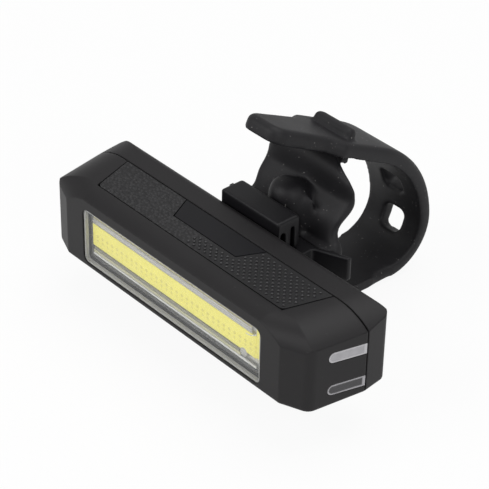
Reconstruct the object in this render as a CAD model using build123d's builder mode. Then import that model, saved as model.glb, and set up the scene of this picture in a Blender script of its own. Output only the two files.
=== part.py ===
"""A slim bicycle headlight on a rubber handlebar strap.

Millimetres. The origin is on the handlebar axis at the lamp's mid length.
X runs along the handlebar and the lamp, the lens faces -Y and +Z is up.
"""
import os
from math import cos, radians, sin

from build123d import *

os.makedirs("parts", exist_ok=True)

# Handlebar and where the lamp sits on it
bar_radius = 12.7
lamp_top_height = 9.7

# Clearances and the overrun of every cut
fit_gap = 0.05
slide_gap = 0.2
body_gap = 0.3
overrun = 1.0

# Lamp housing, measured from its front face and top face
lamp_length = 75.0
lamp_height = 16.2
lamp_depth = 19.6
seam_depth = 13.95
seam_groove = 0.3
corner_inset = 2.0
corner_depth = 2.2
front_bevel = 5.5
rear_inset = 0.6
housing_wall = 1.6
top_wall = 2.2
end_wall = 5.2
brow_reach = 3.4
brow_drop = 0.95
end_roll_reach = 7.6
end_roll_drop = 2.7
corner_roll_reach = 5.0
corner_roll_drop = 3.4
bottom_round = 0.8
front_upright_round = 0.8
side_upright_round = 2.4
rear_upright_round = 1.5
rear_round = 1.8
seal_inset = 0.8
seal_top_inset = 1.5

# Lens pocket and the light strip behind it
lens_margin = 5.0
lens_height = 12.0
lens_centre_drop = 9.0
lens_recess = 0.3
lens_plate = 1.0
lens_wall = 0.9
lens_depth = 3.1
lens_corner = 1.5
lens_seal_thickness = 0.4
ledge_thickness = 1.2
ledge_width = 3.2
board_thickness = 1.2
strip_margin = 2.4
strip_height = 4.9
strip_thickness = 0.5
strip_corner_share = 0.25
reflector_thickness = 0.75
reflector_flare = 1.5

# Top panel with its press pad
panel_front = 4.4
panel_front_inset = 4.4
panel_rear_inset = 9.0
panel_recess = 0.8
panel_corner = 1.2
panel_groove = 0.2
pad_front = 8.75
pad_front_half = 8.5
pad_rear_half = 11.0
pad_travel = 0.4
pad_well = 0.6
pad_stem_radius = 1.5

# Side windows in the end faces
window_front = 5.9
window_nose_height = 2.2
window_seam_height = 2.3
upper_window_drop = 4.45
lower_window_drop = 11.55
window_slope = 0.6

# Electronics
main_board_gap = 1.2
main_board_front = 7.0
main_board_drop = 4.9
main_board_thickness = 1.0
switch_side = 4.4
switch_body = 1.5
switch_button_radius = 0.9
cell_side_gap = 2.7
cell_end_gap = 8.3
cell_front = 8.0
cell_gap = 0.4
cell_back_gap = 2.4
cell_height = 7.4
cell_bevel = 0.9
socket_inset = 15.0
socket_width = 7.6
socket_height = 2.7
socket_depth = 5.4
socket_wall = 0.35
socket_corner_share = 0.25
tongue_width = 4.6
tongue_thickness = 0.6

# Charging port cover
port_width = 8.6
port_height = 3.6
plug_gap = 0.3
cover_width = 12.0
cover_height = 6.0
cover_thickness = 0.9
cover_recess = 0.9
cover_plug = 0.7
hinge_radius = 0.6

# Screws that close the housing
case_screw_radius = 0.8
case_screw_head = 1.5
case_screw_head_height = 1.0
case_screw_length = 10.0
case_screw_inset = 3.0
case_screw_drop = 9.9

# Rear clip on the lamp, from the lamp's back face
clip_half = 8.0
clip_top_rise = 1.7
clip_lip = 0.7
clip_lip_drop = 1.7
clip_recess_drop = 0.9
clip_slot_drop = 0.2
clip_round = 0.8
rail_stand_off = 1.8
rail_thickness = 1.5
rail_half = 6.8
rail_stem_half = 4.4
rail_length = 9.6
finger_slot = 0.7
finger_thickness = 1.5
finger_drop = 5.2
clip_edge = 0.3
clip_screw_radius = 1.0
clip_screw_head = 1.9
clip_screw_head_height = 0.8
clip_screw_length = 3.6
clip_screw_pitch = 5.0
clip_screw_margin = 2.6

# Bracket between the rail and the rubber foot
bracket_half = 10.0
bracket_top = 4.0
bracket_floor = 0.7
bracket_depth = 6.3
bracket_front_gap = 0.6
wing_half = 16.7
wing_sweep = 2.8
wing_thickness = 1.15
wing_foot = -1.0
wing_stand_off = 4.3
bracket_round = 1.0
mount_screw_radius = 1.5
mount_screw_head = 2.8
mount_screw_head_height = 1.4
insert_width = 9.0
insert_height = 7.0
insert_thickness = 1.6
mount_screw_height = -2.0

# Rubber strap: loop, tongue, eye, hook
rubber_thickness = 3.0
strap_half = 7.5
strap_bevel = 0.8
low_arc_share = 0.587
low_arc_turn = 95.0
back_arc_share = 1.728
back_arc_turn = 58.0
run_in_share = 0.625
tongue_length = 29.5
tongue_neck_start = 12.5
tongue_neck_end = 15.5
tongue_neck_half = 5.6
tongue_tip_half = 4.6
tongue_tip_radius = 3.0
hole_width = 5.0
hole_length = 5.0
hole_corner = 1.2
hole_starts = (9.0, 18.5)
eye_start = 8.9
eye_half = 5.8
eye_open = 3.2
hook_half = 4.9
hook_bar = 2.6
hook_corner_share = 0.3
hook_height = 1.9
hook_stem_half = 2.6
hook_stem = 2.0
hook_round = 0.6

# Rubber saddle and foot
saddle_half = 13.75
saddle_wall = 2.0
cradle_top_angle = 128.0
cradle_end_angle = 282.0
crest_share = 1.339
crest_round = 2.2
flare_start_share = 0.118
flare_end_share = 0.669
waist_half = 10.8
shoulder_start_share = 0.969
shoulder_end_share = 1.291
tab_half = 7.6
tab_gap = 0.5
tab_thickness = 1.8
tab_end_share = 0.614
tab_root_share = 1.063
tail_start = -5.0
tail_end = 3.0
tail_top = -8.0
foot_half = 4.8
foot_upper_root_half = 5.6
foot_root_half = 12.4
foot_stand_off = 2.7
foot_root_stand_off = 0.6
foot_top_share = 0.551
foot_slope_end_share = 0.906
foot_bottom = -7.5
nose_radius = 4.0
nose_stand_off = 5.2
nose_top_share = 1.05
nose_shares = ((1.0, 0.7), (0.9, 0.86), (0.65, 0.96), (0.3, 1.0))

# Planes and places derived from the sizes above
wing_front = -bar_radius - wing_stand_off
block_front = wing_front - bracket_depth
front_y = block_front - bracket_front_gap - lamp_depth
lamp_half = lamp_length / 2
corner_half = lamp_half - corner_inset
front_half = corner_half - front_bevel
rear_half = lamp_half - rear_inset
lens_length = 2 * (front_half - lens_margin)
strip_length = lens_length - 2 * strip_margin
panel_front_half = front_half - panel_front_inset
panel_rear_half = lamp_half - panel_rear_inset
case_screw_half = lamp_half - case_screw_inset
socket_centre = socket_inset - lamp_half
lamp_origin = Vector(0, front_y, lamp_top_height)
top_plane = Plane(origin=lamp_origin, x_dir=(1, 0, 0), z_dir=(0, 0, 1))
side_plane = Plane(origin=lamp_origin, x_dir=(0, 1, 0), z_dir=(1, 0, 0))
face_plane = Plane(origin=lamp_origin, x_dir=(1, 0, 0), z_dir=(0, -1, 0))


def depth_plane(depth):
    """A plane like the lamp's front face, looking out, that far behind it."""
    return face_plane.offset(-depth)


def edge_plane(start, end):
    """A plane across a top edge of the lamp: its x points into the lamp, its y up."""
    along = (Vector(*end) - Vector(*start)).normalized()
    inward = Vector(-along.Y, along.X)
    origin = lamp_origin + Vector(*start)
    return Plane(origin=origin, x_dir=inward, z_dir=along)


# Housing blank: one half with its rolled top edges, then its mirror image
front_corner = (front_half, 0)
side_corner = (corner_half, corner_depth)
rolled_edges = (
    (edge_plane(side_corner, (lamp_half, seam_depth)), end_roll_reach, end_roll_drop),
    (edge_plane(front_corner, side_corner), corner_roll_reach, corner_roll_drop),
)
with BuildPart() as housing:
    with BuildSketch(top_plane):
        with BuildLine():
            Polyline(
                (0, 0),
                (front_half, 0),
                (corner_half, corner_depth),
                (lamp_half, seam_depth),
                (rear_half, lamp_depth),
                (0, lamp_depth),
                close=True,
            )
        plan_face = make_face()
        fillet(plan_face.vertices().group_by(Axis.X)[-2], radius=rear_upright_round)
    extrude(amount=-lamp_height)
    with BuildSketch(side_plane):
        with BuildLine():
            Line((0, -lamp_height), (0, -brow_drop))
            TangentArc((brow_reach, 0), (0, -brow_drop), tangent=(-1, 0))
            Line((brow_reach, 0), (lamp_depth - rear_round, 0))
            TangentArc((lamp_depth - rear_round, 0), (lamp_depth, -rear_round), tangent=(1, 0))
            Polyline((lamp_depth, -rear_round), (lamp_depth, -lamp_height), (0, -lamp_height))
        make_face()
    extrude(amount=lamp_length, both=True, mode=Mode.INTERSECT)
    for roll_plane, reach, drop in rolled_edges:
        with BuildSketch(roll_plane):
            with BuildLine():
                Line((0, -lamp_height), (0, -drop))
                TangentArc((reach, 0), (0, -drop), tangent=(-1, 0))
                Polyline((reach, 0), (lamp_length, 0), (lamp_length, -lamp_height), (0, -lamp_height))
            make_face()
        extrude(amount=lamp_length, both=True, mode=Mode.INTERSECT)
    uprights = housing.edges().filter_by(Axis.Z).filter_by(lambda e: e.center().X > overrun)
    fillet(uprights.sort_by(Axis.Y)[0], radius=front_upright_round)
    side_uprights = housing.edges().filter_by(Axis.Z)
    side_uprights = side_uprights.filter_by(lambda e: e.center().X > corner_half - overrun)
    fillet(side_uprights.sort_by(Axis.Y)[0], radius=side_upright_round)
    low_edges = housing.edges().group_by(Axis.Z)[0].filter_by(lambda e: e.center().X > overrun)
    fillet(low_edges, radius=bottom_round)
    mirror(about=Plane.YZ)

# Cavity shared by the two halves of the housing
pocket_depth = lens_recess + lens_depth + lens_seal_thickness
cavity_front = pocket_depth + ledge_thickness
end_slope = (lamp_half - corner_half) / (seam_depth - corner_depth)
cavity_half = lamp_half - end_wall
cavity_front_half = cavity_half - end_slope * (seam_depth - cavity_front)
cavity_height = lamp_height - top_wall - housing_wall
cavity_back = lamp_depth - housing_wall
with BuildPart() as cavity:
    with BuildSketch(top_plane.offset(-top_wall)):
        with BuildLine():
            Polyline(
                (cavity_front_half, cavity_front),
                (cavity_half, seam_depth),
                (cavity_half, cavity_back),
                (-cavity_half, cavity_back),
                (-cavity_half, seam_depth),
                (-cavity_front_half, cavity_front),
                close=True,
            )
        make_face()
    extrude(amount=-cavity_height)

# Outlines that several pieces share
panel_rear = seam_depth - seam_groove / 2
stem_depth = (pad_front + seam_depth) / 2
window_tail = seam_depth - seam_groove / 2
lens_centre = (0, -lens_centre_drop)


def trapezoid(front_half_width, rear_half_width, front, rear):
    """The four corners of a plate that widens towards the back."""
    return (
        (-rear_half_width, rear),
        (-front_half_width, front),
        (front_half_width, front),
        (rear_half_width, rear),
    )


def window_outline(start, drop, shrink, tail):
    """A side window's outline: a round nose and a slot that falls a little towards the seam."""
    nose = window_nose_height / 2 - shrink
    nose_depth = window_front + window_nose_height / 2
    nose_level = -drop - window_nose_height / 2
    upper = -drop - window_slope - shrink
    lower = -drop - window_slope - window_seam_height + shrink
    with BuildSketch(side_plane.offset(start)) as outline:
        with BuildLine():
            ThreePointArc(
                (nose_depth, nose_level + nose),
                (nose_depth - nose, nose_level),
                (nose_depth, nose_level - nose),
            )
            Polyline(
                (nose_depth, nose_level - nose),
                (tail, lower),
                (tail, upper),
                (nose_depth, nose_level + nose),
            )
        make_face()
    return outline.sketch


panel_hole = trapezoid(
    panel_front_half + panel_groove,
    panel_rear_half + panel_groove,
    panel_front - panel_groove,
    panel_rear,
)
pad_hole = trapezoid(
    pad_front_half + panel_groove,
    pad_rear_half + panel_groove,
    pad_front - panel_groove,
    panel_rear,
)

# Front shell with the lens pocket, panel recess, pad well and window slots
with BuildPart() as front_shell:
    add(housing.part)
    split(bisect_by=depth_plane(seam_depth - seam_groove / 2), keep=Keep.TOP)
    add(cavity.part, mode=Mode.SUBTRACT)
    with BuildSketch(face_plane):
        with Locations(lens_centre):
            RectangleRounded(lens_length + 2 * fit_gap, lens_height + 2 * fit_gap, lens_corner)
    extrude(amount=-pocket_depth, mode=Mode.SUBTRACT)
    with BuildSketch(face_plane):
        with Locations(lens_centre):
            Rectangle(lens_length - 2 * ledge_width, lens_height - 2 * ledge_width)
    extrude(amount=-cavity_front - overrun, mode=Mode.SUBTRACT)
    with BuildSketch(top_plane):
        Polygon(*panel_hole, align=None)
    extrude(amount=-panel_recess, mode=Mode.SUBTRACT)
    with BuildSketch(top_plane.offset(-panel_recess)):
        Polygon(*pad_hole, align=None)
    extrude(amount=-pad_well, mode=Mode.SUBTRACT)
    with BuildSketch(top_plane):
        with Locations((0, stem_depth)):
            Circle(pad_stem_radius + slide_gap)
    extrude(amount=-top_wall - overrun, mode=Mode.SUBTRACT)
    for window_drop in (upper_window_drop, lower_window_drop):
        outline = window_outline(cavity_front_half, window_drop, 0, window_tail)
        slot = extrude(outline, amount=end_wall + overrun + lamp_half - cavity_half, mode=Mode.SUBTRACT)
        mirror(slot, about=Plane.YZ, mode=Mode.SUBTRACT)
    with BuildSketch(depth_plane(lamp_depth)):
        with Locations((case_screw_half, -case_screw_drop), (-case_screw_half, -case_screw_drop)):
            Circle(case_screw_radius + fit_gap)
    extrude(amount=case_screw_length, mode=Mode.SUBTRACT)
front_shell.part.label = "front_shell"
export_step(front_shell.part, "parts/front_shell.step")

# Back cover with the charging port, the cover's recess and the screw seats
port_level = -main_board_drop - main_board_thickness - socket_height / 2
cover_low = port_level - cover_height / 2
hinge_depth = lamp_depth - cover_thickness / 2
rail_foot = bracket_top - lamp_top_height - rail_length
clip_screw_levels = (
    rail_foot + clip_screw_margin,
    rail_foot + clip_screw_margin + clip_screw_pitch,
)
with BuildPart() as back_cover:
    add(housing.part)
    split(bisect_by=depth_plane(seam_depth + seam_groove / 2), keep=Keep.BOTTOM)
    add(cavity.part, mode=Mode.SUBTRACT)
    with BuildSketch(depth_plane(lamp_depth)):
        with Locations((socket_centre, port_level)):
            Rectangle(port_width, port_height)
        with Locations((case_screw_half, -case_screw_drop), (-case_screw_half, -case_screw_drop)):
            Circle(case_screw_radius + fit_gap)
        with Locations(*((0, level) for level in clip_screw_levels)):
            Circle(clip_screw_radius + fit_gap)
    extrude(amount=lamp_depth, mode=Mode.SUBTRACT)
    with BuildSketch(depth_plane(lamp_depth)):
        with Locations((case_screw_half, -case_screw_drop), (-case_screw_half, -case_screw_drop)):
            Circle(case_screw_head + fit_gap)
    extrude(amount=case_screw_head_height + fit_gap, mode=Mode.SUBTRACT)
    with BuildSketch(depth_plane(lamp_depth)):
        with Locations((socket_centre, port_level)):
            Rectangle(cover_width + 2 * slide_gap, cover_height + 2 * slide_gap)
    extrude(amount=cover_recess + slide_gap, mode=Mode.SUBTRACT)
    with Locations(Plane(origin=lamp_origin + Vector(socket_centre, hinge_depth, cover_low),
                         x_dir=(0, 1, 0), z_dir=(1, 0, 0))):
        Cylinder(hinge_radius + slide_gap, cover_width + 2 * slide_gap, mode=Mode.SUBTRACT)
back_cover.part.label = "back_cover"
export_step(back_cover.part, "parts/back_cover.step")

# Gasket in the seam between the two halves
with BuildPart() as body_seal:
    with BuildSketch(depth_plane(seam_depth)):
        with BuildLine():
            Polyline(
                (-lamp_half + seal_inset, -lamp_height + seal_inset),
                (lamp_half - seal_inset, -lamp_height + seal_inset),
                (lamp_half - seal_inset, -end_roll_drop - seal_top_inset),
                (lamp_half - end_roll_reach, -seal_top_inset),
                (-lamp_half + end_roll_reach, -seal_top_inset),
                (-lamp_half + seal_inset, -end_roll_drop - seal_top_inset),
                close=True,
            )
        make_face()
        with Locations((0, -top_wall - cavity_height / 2)):
            Rectangle(2 * cavity_half, cavity_height, mode=Mode.SUBTRACT)
        with Locations((case_screw_half, -case_screw_drop), (-case_screw_half, -case_screw_drop)):
            Circle(case_screw_radius + fit_gap, mode=Mode.SUBTRACT)
    extrude(amount=seam_groove / 2, both=True)
body_seal.part.label = "body_seal"
export_step(body_seal.part, "parts/body_seal.step")

# Top panel, a rubber plate with a hole for the press pad
with BuildPart() as top_panel:
    with BuildSketch(top_plane.offset(-panel_recess)):
        Polygon(*trapezoid(panel_front_half, panel_rear_half, panel_front, panel_rear), align=None)
        Polygon(*pad_hole, align=None, mode=Mode.SUBTRACT)
    extrude(amount=panel_recess)
    panel_corners = top_panel.edges().filter_by(Axis.Z).group_by(Axis.Y)[0]
    fillet(panel_corners, radius=panel_corner)
top_panel.part.label = "top_panel"
export_step(top_panel.part, "parts/top_panel.step")

# Press pad: it sinks into its well and its stem presses the switch
switch_top = -main_board_drop + switch_body
stem_tip = switch_top + pad_travel + fit_gap
with BuildPart() as power_button:
    with BuildSketch(top_plane.offset(-panel_recess)):
        Polygon(*trapezoid(pad_front_half, pad_rear_half, pad_front, panel_rear), align=None)
    extrude(amount=panel_recess)
    with BuildSketch(top_plane.offset(-panel_recess)):
        with Locations((0, stem_depth)):
            Circle(pad_stem_radius)
    extrude(amount=stem_tip + panel_recess)
power_button.part.label = "power_button"
export_step(power_button.part, "parts/power_button.step")

# Lens: a clear tray whose plate faces forward
with BuildPart() as lens:
    with BuildSketch(depth_plane(lens_recess)):
        with Locations(lens_centre):
            RectangleRounded(lens_length, lens_height, lens_corner)
    extrude(amount=-lens_depth)
    with BuildSketch(depth_plane(lens_recess + lens_plate)):
        with Locations(lens_centre):
            RectangleRounded(
                lens_length - 2 * lens_wall,
                lens_height - 2 * lens_wall,
                lens_corner - lens_wall,
            )
    extrude(amount=-lens_depth, mode=Mode.SUBTRACT)
    front_rim = lens.faces().sort_by(Axis.Y)[0].outer_wire().edges()
    chamfer(front_rim, length=lens_recess)
lens.part.label = "lens"
export_step(lens.part, "parts/lens.step")

# Lens gasket between the tray's rim and the ledge
with BuildPart() as lens_seal:
    with BuildSketch(depth_plane(lens_recess + lens_depth)):
        with Locations(lens_centre):
            RectangleRounded(lens_length, lens_height, lens_corner)
            RectangleRounded(
                lens_length - 2 * lens_wall,
                lens_height - 2 * lens_wall,
                lens_corner - lens_wall,
                mode=Mode.SUBTRACT,
            )
    extrude(amount=-lens_seal_thickness)
lens_seal.part.label = "lens_seal"
export_step(lens_seal.part, "parts/lens_seal.step")

# Light board on the ledge, the light strip on it and the bright frame round the strip
board_length = lens_length - 2 * lens_wall - 2 * body_gap
board_height = lens_height - 2 * lens_wall - 2 * body_gap
board_front = pocket_depth - board_thickness
with BuildPart() as cob_board:
    with BuildSketch(depth_plane(board_front)):
        with Locations(lens_centre):
            Rectangle(board_length, board_height)
    extrude(amount=-board_thickness)
cob_board.part.label = "cob_board"
export_step(cob_board.part, "parts/cob_board.step")

strip_front = board_front - strip_thickness
with BuildPart() as cob_strip:
    with BuildSketch(depth_plane(strip_front)):
        with Locations(lens_centre):
            RectangleRounded(strip_length, strip_height, strip_height * strip_corner_share)
    extrude(amount=-strip_thickness)
cob_strip.part.label = "cob_strip"
export_step(cob_strip.part, "parts/cob_strip.step")

frame_front = board_front - reflector_thickness
with BuildPart() as reflector_frame:
    with BuildSketch(depth_plane(frame_front)):
        with Locations(lens_centre):
            Rectangle(board_length, board_height)
    extrude(amount=-reflector_thickness)
    with BuildSketch(depth_plane(frame_front)):
        with Locations(lens_centre):
            Rectangle(strip_length + 2 * fit_gap + reflector_flare, strip_height + reflector_flare)
    with BuildSketch(depth_plane(board_front)):
        with Locations(lens_centre):
            Rectangle(strip_length + 2 * fit_gap, strip_height + 2 * fit_gap)
    loft(mode=Mode.SUBTRACT)
reflector_frame.part.label = "reflector_frame"
export_step(reflector_frame.part, "parts/reflector_frame.step")

# Side windows: clear blocks in the slots, flush with the end faces
window_names = {upper_window_drop: "upper_window", lower_window_drop: "lower_window"}
window_reach = lamp_half - end_wall + body_gap
for window_drop, window_name in window_names.items():
    with BuildPart() as right_window:
        outline = window_outline(window_reach, window_drop, fit_gap, window_tail)
        extrude(outline, amount=end_wall + overrun)
        add(housing.part, mode=Mode.INTERSECT)
    right_window.part.label = "right_" + window_name
    export_step(right_window.part, "parts/right_" + window_name + ".step")
    with BuildPart() as left_window:
        add(mirror(right_window.part, about=Plane.YZ))
    left_window.part.label = "left_" + window_name
    export_step(left_window.part, "parts/left_" + window_name + ".step")

# Main board under the top wall, with the switch on it and the charging socket below it
main_board_depth = cavity_back - main_board_front
with BuildPart() as main_board:
    with BuildSketch(top_plane.offset(-main_board_drop)):
        with Locations((0, main_board_front + main_board_depth / 2)):
            Rectangle(2 * (cavity_front_half - main_board_gap), main_board_depth)
    extrude(amount=-main_board_thickness)
main_board.part.label = "main_board"
export_step(main_board.part, "parts/main_board.step")

with BuildPart() as tact_switch:
    with BuildSketch(top_plane.offset(-main_board_drop)):
        with Locations((0, stem_depth)):
            Rectangle(switch_side, switch_side)
    extrude(amount=switch_body - pad_travel)
    with BuildSketch(top_plane.offset(-main_board_drop)):
        with Locations((0, stem_depth)):
            Circle(switch_button_radius)
    extrude(amount=switch_body)
tact_switch.part.label = "tact_switch"
export_step(tact_switch.part, "parts/tact_switch.step")

socket_back = lamp_depth - cover_recess - slide_gap - cover_plug - body_gap
socket_front = socket_back - socket_depth
socket_centre_point = (socket_centre, port_level)
with BuildPart() as usb_socket:
    with BuildSketch(depth_plane(socket_front)):
        with Locations(socket_centre_point):
            RectangleRounded(socket_width, socket_height, socket_height * socket_corner_share)
    extrude(amount=-socket_depth)
    with BuildSketch(depth_plane(socket_front + socket_wall)):
        with Locations(socket_centre_point):
            RectangleRounded(
                socket_width - 2 * socket_wall,
                socket_height - 2 * socket_wall,
                socket_height * socket_corner_share - socket_wall,
            )
    extrude(amount=-socket_depth, mode=Mode.SUBTRACT)
    with BuildSketch(depth_plane(socket_front)):
        with Locations(socket_centre_point):
            Rectangle(tongue_width, tongue_thickness)
    extrude(amount=-socket_depth + socket_wall)
usb_socket.part.label = "usb_socket"
export_step(usb_socket.part, "parts/usb_socket.step")

# Pouch cell in front of and below the board
cell_top = main_board_drop + main_board_thickness + cell_gap
cell_start = socket_centre + socket_width / 2 + cell_side_gap
cell_end = cavity_half - cell_end_gap
cell_back = cavity_back - cell_back_gap
with BuildPart() as battery_cell:
    with BuildSketch(top_plane.offset(-cell_top)):
        with Locations(((cell_start + cell_end) / 2, (cell_front + cell_back) / 2)):
            Rectangle(cell_end - cell_start, cell_back - cell_front)
    extrude(amount=-cell_height)
    chamfer(battery_cell.edges().filter_by(Axis.X), length=cell_bevel)
battery_cell.part.label = "battery_cell"
export_step(battery_cell.part, "parts/battery_cell.step")

# Charging port cover: a flap with a plug and a round hinge edge
cover_side = Plane(
    origin=lamp_origin + Vector(socket_centre - cover_width / 2, lamp_depth, cover_low),
    x_dir=(0, 1, 0),
    z_dir=(1, 0, 0),
)
with BuildPart() as usb_cover:
    with BuildSketch(cover_side):
        with Locations((-cover_thickness / 2, 0)):
            Circle(hinge_radius)
        with Locations((-cover_thickness / 2, cover_height / 2)):
            Rectangle(cover_thickness, cover_height)
    extrude(amount=cover_width)
    with BuildSketch(depth_plane(lamp_depth - cover_thickness)):
        with Locations(socket_centre_point):
            Rectangle(port_width - 2 * plug_gap, port_height - 2 * plug_gap)
    extrude(amount=cover_plug)
usb_cover.part.label = "usb_cover"
export_step(usb_cover.part, "parts/usb_cover.step")

# Screws that hold the back cover on the front shell
with BuildPart() as case_screws:
    for screw_half in (-case_screw_half, case_screw_half):
        with BuildSketch(depth_plane(lamp_depth - case_screw_head_height)):
            with Locations((screw_half, -case_screw_drop)):
                Circle(case_screw_head)
        extrude(amount=-case_screw_head_height)
        with BuildSketch(depth_plane(lamp_depth - case_screw_head_height)):
            with Locations((screw_half, -case_screw_drop)):
                Circle(case_screw_radius)
        extrude(amount=case_screw_length - case_screw_head_height - body_gap)
case_screws.part.label = "case_screws"
export_step(case_screws.part, "parts/case_screws.step")

# Rear clip: a hood with a lip, the rail's flange and a finger, over the rail and its stem
rail_front = lamp_depth + rail_stand_off
rail_back = rail_front + rail_thickness
finger_front = rail_back + finger_slot
finger_back = finger_front + finger_thickness
rail_shoulder = bracket_top - lamp_top_height + body_gap
with BuildPart() as rear_clip:
    with BuildSketch(side_plane.offset(-clip_half)):
        with BuildLine():
            Polyline(
                (lamp_depth, clip_top_rise),
                (lamp_depth, -clip_lip_drop),
                (lamp_depth + clip_lip, -clip_lip_drop),
                (lamp_depth + clip_lip, -clip_recess_drop),
                (rail_front, -clip_recess_drop),
                (rail_front, rail_shoulder),
                (rail_back, rail_shoulder),
                (rail_back, -clip_slot_drop),
                (finger_front, -clip_slot_drop),
                (finger_front, -finger_drop),
                (finger_back, -finger_drop),
                (finger_back, clip_top_rise),
                close=True,
            )
        make_face()
    extrude(amount=2 * clip_half)
    top_back = rear_clip.edges().filter_by(Axis.X).group_by(Axis.Z)[-1].sort_by(Axis.Y)[-1]
    fillet(top_back, radius=clip_round)
    outer_edges = rear_clip.faces().sort_by(Axis.Z)[-1].edges().filter_by(Axis.Y)
    chamfer(outer_edges, length=clip_edge)
    with BuildSketch(top_plane.offset(rail_foot)):
        with Locations((0, (rail_front + rail_back) / 2)):
            Rectangle(2 * rail_half, rail_thickness)
        with Locations((0, (lamp_depth + rail_front) / 2)):
            Rectangle(2 * rail_stem_half, rail_stand_off)
    extrude(amount=rail_shoulder - rail_foot)
    with BuildSketch(top_plane.offset(rail_shoulder)):
        with Locations((0, (lamp_depth + rail_front) / 2)):
            Rectangle(2 * rail_stem_half, rail_stand_off)
    extrude(amount=-rail_shoulder - clip_recess_drop)
    with BuildSketch(depth_plane(rail_back)):
        with Locations(*((0, level) for level in clip_screw_levels)):
            Circle(clip_screw_radius + fit_gap)
    extrude(amount=rail_stand_off + rail_thickness + overrun, mode=Mode.SUBTRACT)
    with BuildSketch(depth_plane(rail_back)):
        with Locations(*((0, level) for level in clip_screw_levels)):
            Circle(clip_screw_head + fit_gap)
    extrude(amount=clip_screw_head_height + fit_gap, mode=Mode.SUBTRACT)
rear_clip.part.label = "rear_clip"
export_step(rear_clip.part, "parts/rear_clip.step")

with BuildPart() as clip_screws:
    for level in clip_screw_levels:
        with BuildSketch(depth_plane(rail_back - clip_screw_head_height)):
            with Locations((0, level)):
                Circle(clip_screw_head)
        extrude(amount=-clip_screw_head_height)
        with BuildSketch(depth_plane(rail_back - clip_screw_head_height)):
            with Locations((0, level)):
                Circle(clip_screw_radius)
        extrude(amount=clip_screw_length)
clip_screws.part.label = "clip_screws"
export_step(clip_screws.part, "parts/clip_screws.step")

# Bracket: a block with an upright slot for the rail and two swept wings behind it
wing_rear = wing_front + wing_thickness
slot_foot = rail_foot + lamp_top_height - body_gap
bracket_foot = slot_foot - bracket_floor
bracket_plane = Plane.XY.offset(bracket_foot)
flange_front = front_y + rail_front - slide_gap
flange_back = front_y + rail_back + slide_gap
with BuildPart() as bracket_base:
    with BuildSketch(bracket_plane):
        with Locations((0, (block_front + wing_rear) / 2)):
            Rectangle(2 * bracket_half, wing_rear - block_front)
    extrude(amount=bracket_top - bracket_foot)
    front_corners = bracket_base.edges().filter_by(Axis.Z).group_by(Axis.Y)[0]
    fillet(front_corners, radius=bracket_round)
    with BuildSketch(Plane.XY.offset(wing_foot)):
        with BuildLine():
            Polyline(
                (0, wing_front),
                (bracket_half, wing_front),
                (wing_half, wing_front + wing_sweep),
                (wing_half, wing_rear + wing_sweep),
                (bracket_half, wing_rear),
                (0, wing_rear),
                close=True,
            )
        make_face()
        mirror(about=Plane.YZ)
    extrude(amount=bracket_top - wing_foot)
    with BuildSketch(Plane.XY.offset(slot_foot)):
        with Locations((0, (flange_front + flange_back) / 2)):
            Rectangle(2 * (rail_half + slide_gap), flange_back - flange_front)
        with Locations((0, flange_front - rail_stand_off / 2)):
            Rectangle(2 * (rail_stem_half + slide_gap), rail_stand_off)
    extrude(amount=bracket_top - slot_foot + overrun, mode=Mode.SUBTRACT)
    mount_screw_seat = Plane(origin=(0, flange_back, mount_screw_height), x_dir=(1, 0, 0), z_dir=(0, -1, 0))
    with BuildSketch(mount_screw_seat):
        Circle(mount_screw_head + fit_gap)
    extrude(amount=-mount_screw_head_height - fit_gap, mode=Mode.SUBTRACT)
    with BuildSketch(mount_screw_seat):
        Circle(mount_screw_radius + fit_gap)
    extrude(amount=flange_back - wing_rear - overrun, mode=Mode.SUBTRACT)
bracket_base.part.label = "bracket_base"
export_step(bracket_base.part, "parts/bracket_base.step")

# Screw from the slot's back wall into a plate moulded in the rubber foot
insert_front = wing_rear + body_gap
mount_screw_length = insert_front + insert_thickness - flange_back - fit_gap
with BuildPart() as mount_screw:
    with BuildSketch(mount_screw_seat.offset(-fit_gap)):
        Circle(mount_screw_head)
    extrude(amount=-mount_screw_head_height)
    with BuildSketch(mount_screw_seat.offset(-fit_gap)):
        Circle(mount_screw_radius)
    extrude(amount=-mount_screw_length)
mount_screw.part.label = "mount_screw"
export_step(mount_screw.part, "parts/mount_screw.step")

# Plate moulded into the rubber foot, which the mount screw pulls on
with BuildPart() as foot_insert:
    with BuildSketch(Plane(origin=(0, insert_front, mount_screw_height), x_dir=(1, 0, 0), z_dir=(0, 1, 0))):
        Rectangle(insert_width, insert_height)
        Circle(mount_screw_radius + fit_gap, mode=Mode.SUBTRACT)
    extrude(amount=insert_thickness)
foot_insert.part.label = "foot_insert"
export_step(foot_insert.part, "parts/foot_insert.step")

# The strap's inner line: under the bar, round its back, then straight over the top
strap_run_in = bar_radius * run_in_share
with BuildLine(Plane.YZ) as strap_line:
    run_in = Line((0, -bar_radius), (strap_run_in, -bar_radius))
    low_arc = JernArc(run_in @ 1, run_in % 1, bar_radius * low_arc_share, low_arc_turn)
    back_arc = JernArc(low_arc @ 1, low_arc % 1, bar_radius * back_arc_share, back_arc_turn)
strap_path = strap_line.wires()[0]
tongue_start = back_arc @ 1
tongue_along = (back_arc % 1).normalized()
tongue_out = Vector(0, tongue_along.Z, -tongue_along.Y)
tongue_plane = Plane(origin=tongue_start, x_dir=(-1, 0, 0), z_dir=tongue_out)
strap_offset = tongue_start.dot(tongue_out)

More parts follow.
